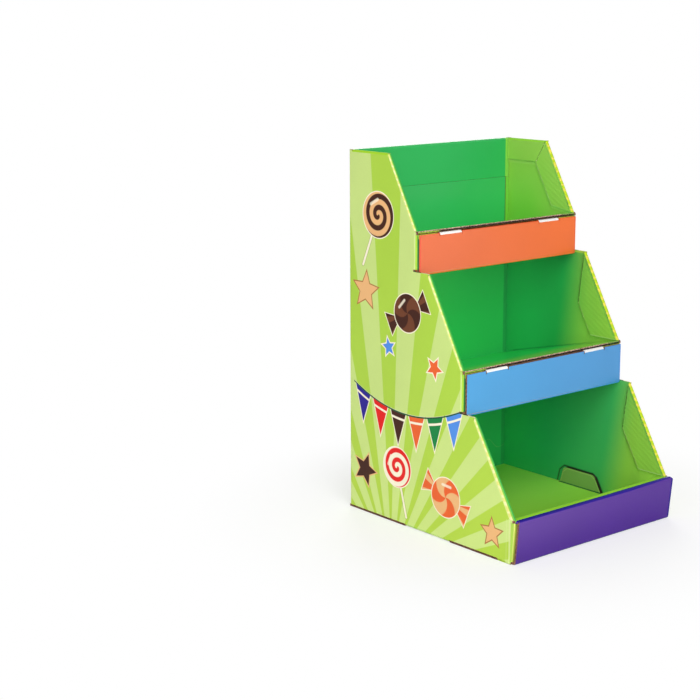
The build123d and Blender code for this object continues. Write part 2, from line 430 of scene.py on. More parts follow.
def lime_ground(z, rays):
    """The lime ground with its rays; both are painted a little paler towards the table, as
    painted light.
    """
    # painted light: the lower part of each side is painted paler
    low = flip(step(z, 0.0, 260.0))
    ground = over(low, LIME, ink(180, 212, 72))
    return over(rays, ground, over(low, PALE_LIME, ink(204, 226, 134)))


print("rays every", round(math.degrees(RAY_STEP), 1), "degrees")

# %% [markdown]
# ## The outside: sweets, stars and bunting
#
# A party print sits on the sunburst. Each motif is a shape of its own: a star is five
# straight-edged points, a wrapped sweet is a disc with two fans, a lollipop is a spiral,
# and the bunting is a row of flags under a sagging string. Every shape is a signed
# distance, and an ink is laid over wherever that distance is below zero.

# %% Shapes for the print
FIFTH = math.radians(72)


def local(at, centre, degrees):
    """The side view's (depth, z), moved and turned so that a motif's centre is zero."""
    c, s = math.cos(math.radians(degrees)), math.sin(math.radians(degrees))
    u, v = at.depth - centre[0], at.z - centre[1]
    return u * c + v * s, v * c - u * s


def star_shape(u, v, tip, notch):
    """Signed distance of a five-pointed star: each point is folded onto one half edge."""
    fifths = v.make("ARCTAN2", u) / FIFTH
    angle = abs(fifths - fifths.make("ROUND")) * FIFTH
    radius = length(u, v)
    px, py = radius * angle.make("COSINE"), radius * angle.make("SINE")
    qx, qy = notch * math.cos(FIFTH / 2), notch * math.sin(FIFTH / 2)
    size = math.hypot(qx - tip, qy)
    return (px - tip) * (qy / size) + py * ((tip - qx) / size)


def spiral(u, v, arms, pitch):
    """1 in the arms of a spiral: fract(arms * angle / 2 pi + r / pitch) is near a half."""
    turns = v.make("ARCTAN2", u) * (arms / (2 * math.pi)) + length(u, v) / pitch
    return band(turns.make("FRACT"), 0.5, 0.25, 0.03)


def swirl(u, v, size, whorl, inks, gleam, strength):
    """The coats of a spiral disc: a cream rim, two inks, and a gleam along a segment."""
    disc = length(u, v) - size
    start, end = ((a * size, b * size) for a, b in gleam)
    return (
        (inside(disc - 1.4), CREAM),
        (inside(disc), over(whorl, *inks)),
        (inside(from_line(u, v, start, end) - size * 0.07, 0.6) * strength, CREAM),
    )


print("shapes: star, spiral, disc")

# %% [markdown]
# The three motifs share one call: where they sit, how far they are turned, how large they
# are, and two inks. So a whole panel can be written as a table of motifs.

# %% The motifs
def add_star(colour, at, centre, degrees, size, fill, rim):
    """A star with a rim 1.6 mm wide, laid over the colour below."""
    shape = star_shape(*local(at, centre, degrees), size, size * 0.46)
    return layers(colour, (inside(shape - 1.6), rim), (inside(shape), fill))


def add_sweet(colour, at, centre, degrees, size, fill, stripe):
    """A wrapped sweet: a striped disc between two pleated fans."""
    u, v = local(at, centre, degrees)
    out = abs(u) - size * 0.86
    fan = most(abs(v) - (out * 0.62 + size * 0.14), out - size * 0.78, -out)
    pleats = ((v / (out + size * 0.5)) * 9.0).make("SINE")
    whorl = spiral(u, v, 3, size * 2.2)
    return layers(
        colour,
        (inside(fan - 1.2), CREAM),
        (inside(fan), over(above(pleats, 0.3), fill, stripe)),
        *swirl(u, v, size, whorl, (fill, stripe), ((-0.45, 0.5), (0.1, 0.68)), 0.75),
    )


def add_lollipop(colour, at, centre, degrees, size, fill, stripe):
    """A spiral disc on a pale stick that points along -v."""
    u, v = local(at, centre, degrees)
    stick = from_line(u, v, (0.0, -size), (0.0, -size * 2.5)) - 1.9
    whorl = spiral(u, v, 1, size * 0.48)
    return layers(
        colour,
        (inside(stick - 0.8), ink(150, 178, 70)),
        (inside(stick), CREAM),
        *swirl(u, v, size, whorl, (fill, stripe), ((-0.62, 0.2), (-0.3, 0.6)), 0.7),
    )


print("motifs: star, wrapped sweet, lollipop")

# %% [markdown]
# Bunting is one flag that repeats. The place along the row is divided by the flags' step
# and rounded, which gives each flag its number and so its ink; what is left over is the
# place inside that flag. A ramp with sharp stops turns the number into the ink.

# %% Bunting
FLAG_FIRST, FLAG_STEP = 30.0, 37.0
FLAG_HALF, FLAG_DROP = 15.5, 46.0
FLAG_INKS = (NAVY, RED, BROWN, ORANGE, DARK_GREEN, BLUE)
STRING_MIDDLE, STRING_HALF = 122.5, 112.0
STRING_LOW, STRING_SAG = 158.0, 28.0


def string_height(depth):
    """The sagging string: 158 + 28 t^2, with t running from -1 to 1 along it."""
    t = (depth - STRING_MIDDLE) / STRING_HALF
    return t * t * STRING_SAG + STRING_LOW


def add_bunting(colour, at):
    """Flags on a string: in each step of the row, |u| < 15.5 (1 - drop / 46)."""
    count = len(FLAG_INKS)
    beat = (at.depth - FLAG_FIRST) / FLAG_STEP
    flag = least(most(beat.make("ROUND"), 0.0), count - 1.0)
    u = abs(beat - flag) * FLAG_STEP
    drop = string_height(at.depth) - at.z
    shape = most(u - flip(drop / FLAG_DROP) * FLAG_HALF, -drop)
    stops = at.x.tree.nodes.new("ShaderNodeValToRGB")
    stops.color_ramp.interpolation = "CONSTANT"
    while len(stops.color_ramp.elements) < count:
        stops.color_ramp.elements.new(0.5)
    for i, shade in enumerate(FLAG_INKS):
        stops.color_ramp.elements[i].position = max(0.0, (i - 0.5) / count)
        stops.color_ramp.elements[i].color = shade
    at.x.tree.links.new((flag / count).socket, stops.inputs[0])
    return layers(
        colour,
        (inside(shape - 1.5), CREAM),
        (inside(shape), Field(stops.outputs[0])),
        (band(drop, 9.0, 1.6) * inside(shape), CREAM),
        (band(drop, 0.0, 1.1) * band(at.depth, STRING_MIDDLE, STRING_HALF), ink(24, 84, 52)),
    )


print("flags:", len(FLAG_INKS), "at every", FLAG_STEP, "mm")

# %% [markdown]
# ## The printed panels
#
# The motifs are scattered where a printer would put them: large ones in the open, small
# ones between them, and none over a fold. A table holds each one's shape, centre, turn,
# size and inks, so that a motif can be moved without touching any formula.

# %% Tables of motifs
SIDE_MOTIFS = [
    (add_lollipop, (62, 424), -24, 31, BROWN, TAN),
    (add_star, (36, 318), 14, 26, TAN, CARAMEL),
    (add_sweet, (122, 298), 28, 26, BROWN, COCOA),
    (add_star, (176, 232), -8, 15, ORANGE, CREAM),
    (add_star, (84, 246), 30, 13, BLUE, CREAM),
    (add_sweet, (200, 60), -22, 27, ORANGE, TAN),
    (add_lollipop, (102, 80), 16, 28, RED, CREAM),
    (add_star, (34, 62), 0, 24, BROWN, TAN),
    (add_star, (288, 34), 20, 19, TAN, CARAMEL),
]
BACK_MOTIFS = [
    (add_lollipop, (50, 410), 20, 30, RED, CREAM),
    (add_star, (128, 452), 10, 22, TAN, CARAMEL),
    (add_sweet, (206, 396), -24, 26, ORANGE, TAN),
    (add_star, (122, 330), -6, 16, BLUE, CREAM),
    (add_star, (42, 262), 24, 15, ORANGE, CREAM),
    (add_star, (222, 276), -12, 20, TAN, CARAMEL),
    (add_sweet, (48, 78), 18, 26, BROWN, COCOA),
    (add_lollipop, (196, 92), -14, 27, BROWN, TAN),
]
print("motifs on a side:", len(SIDE_MOTIFS), "and on the back:", len(BACK_MOTIFS))

# %% [markdown]
# Where a side is folded inwards to a flap, the ink has cracked to a pale line, and its
# foot is painted dark as shade. The back isn't seen in the photograph; it gets the same
# print, with the row of flags in the middle of the panel.

# %% The side panels and the back
FRONT_FOLDS = [
    ((front - BOARD, foot), (front - BOARD, head))
    for front, foot, head in (
        (TOP_FRONT, TOP_FOOT, TOP_HEAD),
        (MIDDLE_FRONT, MIDDLE_FOOT, MIDDLE_HEAD),
        (LIP_FRONT, 0.0, LIP_TOP),
    )
]
SECOND_FOLD = (LIP_FRONT - 8.0, 0.0), (LIP_FRONT - 8.0, LIP_TOP)
CRACKED = ink(226, 236, 170)


def party_print(at, motifs, ray_centre):
    """Sunburst, bunting and a table's motifs, in this order."""
    colour = lime_ground(at.z, sunburst(at.depth, at.z, ray_centre))
    colour = add_bunting(colour, at)
    for add, *details in motifs:
        colour = add(colour, at, *details)
    return colour


def side_paint(at):
    """The party print, the pale cracked line at each vertical fold, and painted shade along
    the foot.
    """
    return layers(
        party_print(at, SIDE_MOTIFS, RAY_CENTRE),
        (inside(from_lines(at, FRONT_FOLDS) - 0.9, 0.3) * 0.5, CRACKED),
        (inside(from_lines(at, [SECOND_FOLD]) - 0.5, 0.4) * 0.3, CRACKED),
        # painted shade: a dark line along the foot, where the fold turns under
        (below(at.z, 0.7, 0.4) * 0.6, ink(92, 104, 52)),
    )


def side_ripple(at):
    """Upright flutes, and two pressed grooves by the front fold of the lowest lip."""
    groove = band(abs(at.depth - (LIP_FRONT - 6.5)), 1.5, 0.5, 0.6) * -60.0
    return upright_flutes(at) + groove * below(at.z, LIP_TOP)


def back_paint(at):
    """The party print over the width: x takes the place of the depth."""
    at.depth = at.x + STRING_MIDDLE
    return party_print(at, BACK_MOTIFS, (STRING_MIDDLE, RAY_CENTRE[1]))


side_print = board_material("side_print", side_paint, side_ripple, coat=0.08, gloss=0.15)
back_print = board_material("back_print", back_paint, lengthwise_flutes, coat=0.08, gloss=0.15)
print("nodes in the side print:", len(side_print.node_tree.nodes))

# %% [markdown]
# ## The inside: lime walls with painted green shade
#
# The inside is printed too, lime on the walls and green on the linings. In the two lower
# tiers the side walls fade from a deep green at the back to lime near the front edge: this
# is painted shade under the shelf above, green from the walls around it. One image could
# hold that, but a formula stays sharp at any size: the fade is a smooth step over the depth,
# which starts further forward higher up, and at another place in each tier.

# %% Ground of the side walls, with painted shade
# the fades below are painted shade beneath the shelf above each tier
# level of the drawing, slant, main fade and its share, slow fade for the rest
BOTTOM_FADE = 100.0, 0.17, (208.0, 266.0), 0.88, (60.0, 210.0)
MIDDLE_FADE = 290.0, 0.13, (112.0, 178.0), 0.85, (170.0, 220.0)
SHADED = 322.0, 350.0  # the heights over which the top tier shades the middle one


def shelf_shade_fade(at, level, slant, main, share, slow):
    """Painted shade under a shelf: share * step(depth - slant (z - level)) + (1 - share) * a
    slow step(depth).
    """
    slanted = at.depth - (at.z - level) * slant
    return step(slanted, *main) * share + step(at.depth, *slow) * (1 - share)


def in_top(at):
    """1 in the top tier."""
    return step(at.z, TOP_FOOT - 4, TOP_FOOT - 2)


def wall_ground_and_shade(at):
    """Painted shade: deep green under each shelf that fades to lime; the top tier's lime
    painted darker low down and at the back; painted light by the lip.
    """
    in_middle = step(at.z, MIDDLE_FOOT + 5, MIDDLE_FOOT + 7)
    bottom, middle = shelf_shade_fade(at, *BOTTOM_FADE), shelf_shade_fade(at, *MIDDLE_FADE)
    fade = bottom + (middle - bottom) * in_middle
    fade = fade + flip(fade) * in_top(at)
    # painted shade: the top tier's lime is darker low down and towards the back
    shaded_top_lime = layers(
        ink(126, 200, 62),
        (step(at.z, 390.0, 500.0), ink(150, 200, 76)),
        (step(at.depth, 45.0, 110.0), ink(152, 200, 78)),
    )
    shaded = over(step(at.z, *SHADED) * 0.3, ink(34, 164, 76), ink(16, 124, 78))
    deep = over(in_middle, ink(32, 176, 98), shaded)
    return layers(
        ink(40, 192, 96),
        (step(at.depth, 30.0, 120.0), deep),
        (fade, over(in_top(at), WALL_LIME, shaded_top_lime)),
        # painted light: the wall is brighter low behind the lip, where the hem and lip shade
        # it
        (below(at.z, LIP_TOP) * step(at.depth, 262.0, 300.0), ink(176, 236, 84)),
    )


print("middle tier fades between depths", *MIDDLE_FADE[2])

# %% [markdown]
# Marks lie on that ground. A locking tab from each side comes up through the floor, the
# middle shelf meets the wall, and the turned-in edges end in cut rims. All of them are
# drawn as segments, as a die maker would.

# %% Drawing of the marks
TAB_OUTLINE = chain(
    (126.5, 6.5), (131.8, 24.2), (140.5, 31.0), (188.3, 31.0), (196.1, 26.5), (207.5, 6.5)
)
TAB_SLOT = chain((119.0, 6.5), (123.5, 24.5), (132.5, 32.0), (188.3, 31.6))
SHELF_SEAM = [((22.0, 188.9), (205.0, 232.0))]
CROWN_RIM = [((6.9, CROWN_HEM), (63.7, CROWN_HEM))]
UPPER_ENDS = [((162.2, 350.1), (153.8, 281.7)), ((251.8, 174.8), (244.3, 113.4))]
FREE_RIMS = [
    ((64.0, 475.0), (96.4, 416.6)),
    ((153.8, 281.7), (178.7, 237.1)),
    ((244.3, 113.4), (275.5, 59.3)),
]
LOWER_ENDS = [
    ((96.4, 416.6), (133.5, 410.0)),
    ((178.7, 237.6), (225.4, 237.6)),
    ((275.5, 59.8), (318.5, 59.8)),
]
print("rims:", len(CROWN_RIM + UPPER_ENDS + FREE_RIMS + LOWER_ENDS))

# %% [markdown]
# A painted shadow lies dark round each tab's slot, and the shelf throws a thin painted shade.
# By the top tier's hems the wall is painted lighter, against their shadow, and painted shade
# lines follow the inner edges of the slopes' folds. The rims have lost some ink, and noise
# breaks their lines up.

# %% Marks on the side walls
def on_hem(at):
    """1 on the turned-in edges and the tabs, which lie a board nearer the middle."""
    return below(at.side, HEM_FACE + 0.6)


def tab_coats(at):
    """Painted shadow round a locking tab, and the tab's face, with a pale painted highlight
    inside its rim and darker at its foot.
    """
    rim = from_lines(at, TAB_OUTLINE)
    slot = least(from_lines(at, TAB_SLOT) - 1.1, rim - 1.8)
    # painted shadow: dark round the tab's slot on the wall
    tab_shadow = inside(slot, 0.8) * above(at.side, HEM_FACE + 0.6) * below(at.z, 40.0)
    face = layers(
        ink(128, 172, 88),
        # painted highlight: a pale line just inside the tab's rim
        (band(rim, 1.6, 0.6, 0.3) * 0.6, ink(176, 206, 120)),
        (below(at.z, 7.8), ink(40, 110, 66)),
    )
    on_tab = below(at.z, 31.5) * on_hem(at) * below(at.depth, 210.0)
    return (tab_shadow * 0.94, ink(26, 34, 26)), (on_tab, face)


def hem_coats(at):
    """Painted shade of the shelf, painted light on the wall by the top tier's hems, painted
    shade inside the slopes' folds, a dark line at the crown's rim, and worn cut rims.
    """
    # painted shade: a dark line where the middle shelf meets the wall
    shelf_shadow = inside(from_lines(at, SHELF_SEAM) - 0.5, 0.7) * above(at.x, 0.0)
    shelf_shadow = shelf_shadow * flip(step(at.depth, 130.0, 205.0))
    worn, hem = noise(at.point, 0.16, 3.0), on_hem(at)
    near = from_lines(at, [FREE_RIMS[0], LOWER_ENDS[0], CROWN_RIM[0]])
    # painted light: the wall beside the top tier's hems is lighter, against their shadow
    pale = flip(step(near, 3.0, 6.5)) * flip(hem) * in_top(at)
    rim = over(above(worn, 0.5), ink(132, 104, 62), ink(206, 226, 150))
    return (
        (shelf_shadow * 0.8, ink(14, 108, 58)),
        (pale * 0.45, ink(196, 236, 120)),
        # painted shade: a dark green line along the inner edge of each slope's fold
        (band(from_lines(at, SLOPES), 3.4, 0.5, 0.4) * hem * 0.5, ink(58, 150, 62)),
        (lines(at, 0.9, CROWN_RIM) * hem * 0.7, ink(84, 130, 52)),
        (lines(at, 1.5, UPPER_ENDS) * hem * step(worn, 0.3, 0.45), ink(64, 48, 36)),
        (lines(at, 1.1, FREE_RIMS) * hem * step(worn, 0.3, 0.5), rim),
        (lines(at, 0.9, LOWER_ENDS) * hem * 0.7, ink(190, 222, 140)),
    )


print("marks: tabs, shade of the shelf, rims")

# %% [markdown]
# The turned-in edges show the flutes most. A panel's upright flutes are mirrored about the
# slope that they were folded over, so their ripples lie at 148 degrees. The crown's hem is
# folded over a level line, so its flutes stay upright.

# %% The wall print
HEM_RIPPLE = 55.0  # micrometres
CROWN_MITRE = 0.874, -0.514, 180.0  # a depth + b z + c is below zero on the crown's hem


def wall_paint(at):
    """The ground with its marks."""
    return layers(wall_ground_and_shade(at), *tab_coats(at), *hem_coats(at))


def wall_ripple(at):
    """Upright flutes on the wall; on a slope's turned-in edge they lie at 148 degrees."""
    across = at.depth * -math.sin(HEM_FLUTES) + at.z * math.cos(HEM_FLUTES)
    a, b, c = CROWN_MITRE
    crown = above(at.z, CROWN_HEM) * inside(at.depth * a + at.z * b + c)
    upright = upright_flutes(at)
    turned = (wave(across) * HEM_RIPPLE - upright) * on_hem(at) * flip(crown)
    scuff = abs(noise(at.point, 0.02, 3.0) - 0.5)
    return upright + turned - below(scuff, 0.002, 0.002) * 25.0


wall_print = board_material("wall_print", wall_paint, wall_ripple, coat=0.6)
print("nodes in the wall print:", len(wall_print.node_tree.nodes))

# %% [markdown]
# Behind each tier stands a green lining, which is the turned-up end of the shelf or tray
# below it. It is one ink on the real sheet, but less light reaches its top and its right, so
# these are painted darker as shade, and the print stops short of the right edge, where the
# bare line of the cut shows.

# %% Linings and shelves
def lining_paint(at):
    """Green linings behind the tiers, with painted shade: deeper towards the top and towards
    the right.
    """
    top, back_hem = above(at.z, TOP_LINING), above(at.z, BACK_HEM)
    end = over(top, ink(34, 164, 80), ink(114, 190, 56))
    end = over(back_hem, end, ink(124, 194, 70))
    cut_line = over(back_hem, ink(76, 54, 28), ink(146, 204, 54))
    # painted shade: darker towards the right below the top tier, and towards the top of each
    # tier
    right = step(at.x, -60.0, 140.0) * below(at.z, TOP_LINING)
    return layers(
        ink(54, 212, 108),
        (step(at.z, 170.0, 200.0), ink(54, 220, 102)),
        (step(at.z, *SHADED) * 0.35, ink(24, 150, 80)),
        (top, ink(46, 180, 92)),
        (step(at.z, 380.0, 500.0), ink(34, 166, 80)),
        (right * 0.36, ink(24, 132, 62)),
        (above(at.x, LINING_END), end),
        (band(at.x, LINING_END, 0.6, 0.3) * top, cut_line),
    )


def shelf_paint(at):
    """A shelf: lime at the front, green at the back and left as a painted reflection of the
    green lining with painted shade; a painted shade line in the crease; its lining is green.
    """
    across = at.depth + (at.x + 3.0) * 0.15
    # painted reflection and shade: green at the back and left, lime towards the front
    return layers(
        ink(32, 222, 94),
        (step(across, 140.0, 215.0), ink(140, 208, 66)),
        # painted shade: a dark line in the crease where shelf and lining meet
        (band(at.depth, 8.4, 0.5, 0.4) * 0.6, ink(16, 128, 60)),
        (below(at.depth, LINING_DEPTH), lining_paint(at)),
    )


lining_print = board_material("lining_print", lining_paint, lengthwise_flutes, coat=0.15)
shelf_print = board_material("shelf_print", shelf_paint, lengthwise_flutes, coat=0.7)
print("linings and shelves printed")

# %% [markdown]
# ## The base tray's print
#
# One sheet makes the floor, the rolled lip and the lining behind the lowest tier. The
# front is purple, painted lighter at the top and left as shading, the crest of the lip and
# its foot are a darker violet where the roll is tight, the rest of the inside is lime,
# painted lighter at the back as painted light, and the lining is green.

# %% Tray print
RISE, RISE_FROM, RISE_RUN = 2.2, 63.0, 90.0  # how the lip's crest rises on the right


def tray_paint(at):
    """Zones by place: purple front with painted shading, violet crest and foot, lime floor
    with painted light at the back, green lining.
    """
    scratch = abs(noise(at.point, 0.008, 2.0) - 0.5)
    lift = most((at.x - RISE_FROM) / RISE_RUN, 0.0) * RISE
    tight = most(above(at.z - lift, 58.0), below(at.z, 1.8), above(at.x, 147.4))
    front = layers(
        ink(72, 36, 132),
        # painted shading: the front is lighter towards its top and darker towards the right
        (step(at.z, 0.0, 56.0), ink(92, 60, 146)),
        (step(at.x, -HALF_WIDTH, HALF_WIDTH) * 0.5, ink(68, 22, 134)),
        (tight, ink(28, 0, 128)),
    )
    return layers(
        ink(160, 244, 92),
        # painted light: the floor is lighter at the back
        (step(at.depth, 60.0, 250.0), ink(146, 212, 62)),
        (below(at.depth, LINING_DEPTH), lining_paint(at)),
        (below(scratch, 0.0012, 0.001) * 0.14, ink(206, 236, 160)),
        (above(at.z, 56.5) * band(at.depth, 324.4, 2.4), ink(156, 222, 40)),
        (above(at.depth, 326.8), front),
    )


tray_print = board_material("tray_print", tray_paint, lengthwise_flutes, 0.5, 0.05, gloss=0.2)
print("tray printed")

# %% [markdown]
# ## The fascias' print and the bare liners
#
# A fascia is one flat ink. It shifts a little from left to right, as painted shading, and its
# borders are painted in richer inks where the board curves away, as painted light and shade,
# brightest along the foot. The tabs show the white liner of the other side, and hidden faces a
# brown one.

# %% Fascias and liners
MIDDLE_FASCIA, TOP_FASCIA = (176.4, 233.4), (350.2, 404.9)  # foot and head


def plain_paint(left, right):
    """A single ink that shifts a little from the left end to the right, as painted shading."""

    def paint(at):
        return over(step(at.x + noise(at.point, 0.02) * 60.0, -150.0, 190.0), left, right)

    return paint


def fascia_paint(inks, rims, foot, head):
    """Two inks from left to right as painted shading, and richer lines along the borders of
    the board, painted light and shade where it curves away.

    The rims' three inks are for the left end, the right end and the foot.
    """

    def paint(at):
        border = most(abs(at.z - (foot + head) / 2) - (head - foot) / 2, at.side - 148.7)
        return layers(
            plain_paint(*inks)(at),
            # painted light and shade along the curved borders; the foot is painted brightest
            (inside(-border - 1.2, 0.5) * 0.7, over(step(at.x, -150.0, 60.0), *rims[:2])),
            (below(at.z, foot + 2.6, 0.7) * 0.9, rims[2]),
        )

    return paint


def level_flutes(at):
    """The fascias' flutes lie level, so the wave runs over the height."""
    return wave(at.z) * 7.0


blue_inks = ink(72, 152, 206), ink(72, 142, 198)
blue_rim_shading = ink(60, 150, 226), ink(36, 118, 206), ink(70, 168, 250)
orange_inks = ink(216, 107, 68), ink(224, 104, 44)
orange_rim_shading = ink(240, 92, 74), ink(222, 66, 20), ink(255, 120, 50)
blue_paint = fascia_paint(blue_inks, blue_rim_shading, *MIDDLE_FASCIA)
orange_paint = fascia_paint(orange_inks, orange_rim_shading, *TOP_FASCIA)
blue_print = board_material("blue_print", blue_paint, level_flutes, coat=0.2)
orange_print = board_material("orange_print", orange_paint, level_flutes, coat=0.2)
white_paint = plain_paint(ink(232, 231, 228), ink(224, 223, 220))
kraft_paint = plain_paint(ink(188, 146, 106), ink(178, 136, 98))
white_liner = board_material("white_liner", white_paint, level_flutes, 0.65, 0.0)
kraft_liner = board_material("kraft_liner", kraft_paint, lengthwise_flutes, 0.8, 0.0, 2.0)
print("fascias and plain liners made")

# %% [markdown]
# ## Creases
#
# Where a sheet is folded right over, the crease is pressed and perforated: the ink cracks
# to a paler, yellower line. The varnish is gone there and the flutes are crushed, so a
# crease has a rough, uneven surface of its own instead of a line on the wall's.

# %% Creases over the slopes, the crown and the flaps
def crushed(at):
    """No flutes show where the board is crushed; only the pressed unevenness is left."""
    return noise(at.point, 0.35, 2.0) * 60.0


def slope_crease_paint(at):
    """Yellow-lime over the fold, with short pale dashes every 9 mm and a painted shade line on
    its inner side.
    """
    beat = (at.z / 9.0 + noise(at.point, 0.06) * 1.6).make("FRACT")
    dash = band(beat, 0.5, 0.2, 0.08)
    left = layers(
        over(dash * 0.6, ink(214, 212, 116), ink(228, 226, 182)),
        # painted shade: darker green on the inner side of the fold
        (below(at.side, 151.5), ink(120, 182, 62)),
        (below(at.side, 150.3), ink(52, 160, 66)),
    )
    right = layers(
        over(dash, ink(176, 200, 16), ink(216, 204, 76)),
        # painted shade: darker green on the inner side of the fold
        (below(at.side, 147.0), ink(62, 140, 56)),
    )
    return over(above(at.x, 0.0), left, right)


def crown_crease_paint(at):
    """The level fold of the crown: the wall's green-lime with a lighter outer line."""
    return over(above(at.side, 149.5), ink(140, 206, 50), ink(160, 208, 32))


def flap_paint(at):
    """The folds beside the fascias: a pale corner as a painted highlight, lime, then green
    behind as painted shade, lifted by painted light near the lip and the fascias' heads.
    """
    # painted light: brighter lime by the lip, against its shade, with a pale crease line
    crease_and_light_by_lip = layers(
        ink(160, 196, 74),
        (band(at.side, 150.2, 0.5, 0.3), ink(214, 220, 118)),
        (below(at.side, 149.4), ink(200, 226, 84)),
    )
    by_heads = most(band(at.z, TOP_HEAD, 8.0), band(at.z, MIDDLE_HEAD, 8.0))
    return layers(
        # painted shade: dark green behind, in the gap beside the fascias
        ink(40, 120, 58),
        (above(at.side, 150.6), ink(150, 194, 52)),
        (below(at.z, LIP_TOP) * above(at.side, 140.0), crease_and_light_by_lip),
        (by_heads * below(at.side, 149.0), ink(186, 216, 60)),
        # painted highlight: the pale outer corner of the fold
        (above(at.side, 152.6), ink(206, 220, 140)),
    )


slope_crease = board_material("slope_crease", slope_crease_paint, crushed, 0.75, 0.0)
crown_crease = board_material("crown_crease", crown_crease_paint, crushed, 0.75, 0.0)
flap_print = board_material("flap_print", flap_paint, crushed, 0.75, 0.0)
print("creases made")

# %% [markdown]
# ## Raw edges
#
# A cut edge shows the brown paper of the board's core, streaked along its fibres. Each
# edge has had its own handling: ink bled over some corners, the slits at the steps get a
# painted shadow with a painted highlight in front, the tabs' rims are painted dark as shadow
# in their slots, and the hems' rims were pressed flat. The streaks are one noise with
# two inks, and each kind of edge chooses its own.

# %% Raw edges
def streaked(scale, start, end, low, high):
    """A paint that follows a noise: the low ink up to start, the high one from end."""

    def paint(at):
        return over(step(noise(at.point, scale, 3.0), start, end), low, high)

    return paint


def raw_paint(at):
    """Streaked core paper; ink bleeds over it by the front corner, and at the steps a painted
    shadow lies in the slit with a painted highlight on the edge in front.
    """
    core = streaked(0.35, 0.3, 0.7, ink(92, 60, 48), ink(150, 108, 86))(at)
    by_corner = above(at.depth, 298.0) * below(at.z, 3.2) * above(at.side, 148.0)
    coats = [(by_corner * below(at.depth, 316.0), ink(186, 212, 74))]
    for front, foot in ((TOP_FRONT, TOP_FOOT), (MIDDLE_FRONT, MIDDLE_FOOT)):
        on_step = above(at.depth, front - 12.0) * below(at.depth, front + 24.0)
        on_step = on_step * band(at.z, foot, 0.7) * above(at.side, 149.0)
        # painted shadow in the slit behind, painted highlight on the edge in front
        slit_shadow_and_highlight = over(above(at.depth, front + 8.0), ink(26, 30, 24), ink(236, 234, 190))
        coats.append((on_step, slit_shadow_and_highlight))
    return layers(core, *coats)


def nose_paint(at):
    """A shelf's front edge: bright fluted paper above, and a dark painted shadow below, which
    turns lime at the left end and green at the right.
    """
    paper = streaked(0.5, 0.38, 0.56, ink(132, 86, 72), ink(232, 196, 178))(at)
    crest = most(above(at.z, 407.5), above(at.z, 235.15) * below(at.z, 300.0))
    # painted shadow: the lower part of the edge is dark, lime at the left end
    liner = over(step(-at.x, 108.0, 114.0), ink(30, 24, 20), ink(158, 196, 60))
    right_end = over(crest, ink(52, 84, 40), ink(140, 190, 84))
    return layers(liner, (crest, paper), (step(at.x, 118.0, 136.0) * 0.8, right_end))


# painted shadow: the tabs' cut edges are dark, as in their slots
tab_rim_shadow_paint = streaked(0.5, 0.35, 0.75, ink(26, 24, 18), ink(72, 46, 34))
hem_paint = streaked(0.12, 0.45, 0.6, ink(138, 190, 84), ink(222, 228, 170))
raw_edge = board_material("raw_edge", raw_paint, crushed, 0.9, 0.0, 3.0)
tab_rim_shadow = board_material("tab_rim_shadow", tab_rim_shadow_paint, crushed, 0.8, 0.0, 3.0)
hem_rim = board_material("hem_rim", hem_paint, crushed, 0.8, 0.0, 3.0)
nose_edge = board_material("nose_edge", nose_paint, crushed, 0.9, 0.0, 3.0)
print("raw edges made")

# %% [markdown]
# ## Which face is print and which is a cut edge?
#
# A sheet is 3 mm thick everywhere, so a line that goes straight in from a printed face
# comes out 3 mm further on. From a cut edge the same line runs on through the board. That
# one test sorts every face of every sheet. A BVH tree answers it quickly.

# %% Read and sort the faces of a sheet
DEEP = 1.25 * BOARD


def merged_mesh(node):
    """Corners in mm and triangles of a packed sheet, with doubled corners merged."""
    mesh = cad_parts[node].data
    corners = np.zeros(len(mesh.vertices) * 3)
    mesh.vertices.foreach_get("co", corners)
    corners = corners.reshape(-1, 3)
    faces = np.zeros(len(mesh.polygons) * 3, np.int32)
    mesh.polygons.foreach_get("vertices", faces)
    _, first, where = np.unique(
        np.round(corners, 6), axis=0, return_index=True, return_inverse=True
    )
    faces = where.reshape(-1)[faces].reshape(-1, 3)
    whole = (faces != np.roll(faces, 1, axis=1)).all(axis=1)
    return corners[first] / MM, faces[whole]


def normals_of(corners, faces):
    """Unit normals and areas: half the cross product of two sides."""
    a, b, c = (corners[faces[:, i]] for i in range(3))
    cross = np.cross(b - a, c - a)
    size = np.linalg.norm(cross, axis=1)
    return cross / np.maximum(size, 1e-12)[:, None], size / 2


def is_cut_edge(corners, faces, normals):
    """True for each face from which the board is deeper than 1.25 times its thickness."""
    tree = BVHTree.FromPolygons(corners.tolist(), faces.tolist())
    starts = corners[faces].mean(axis=1) - normals * 0.01
    hits = [
        tree.ray_cast(Vector(start), Vector(-normal), DEEP)[0]
        for start, normal in zip(starts, normals)
    ]
    return np.array([hit is None for hit in hits])


print("sorting by depth:", DEEP, "mm")

# %% [markdown]
# ## Flutes in the raw edges
#
# A cut edge shows the board's three papers: two flat liners, and the fluted one that
# swings between them like a wave, with dark pockets on both sides. It could be painted,
# but real pockets catch real shadow. So every rectangular cut edge is taken out, and a
# small relief is put in its place. First the rectangles have to be found: cut faces are
# grouped by their plane, then by the corners they share, and each group is measured.

# %% Islands and rectangles
def islands(faces, count):
    """A label for each face, the same for faces that share corners."""
    label = np.arange(count)
    while True:
        low = label[faces].min(axis=1)
        fresh = label.copy()
        for column in range(3):
            np.minimum.at(fresh, faces[:, column], low)
        if (fresh == label).all():
            return low
        label = fresh


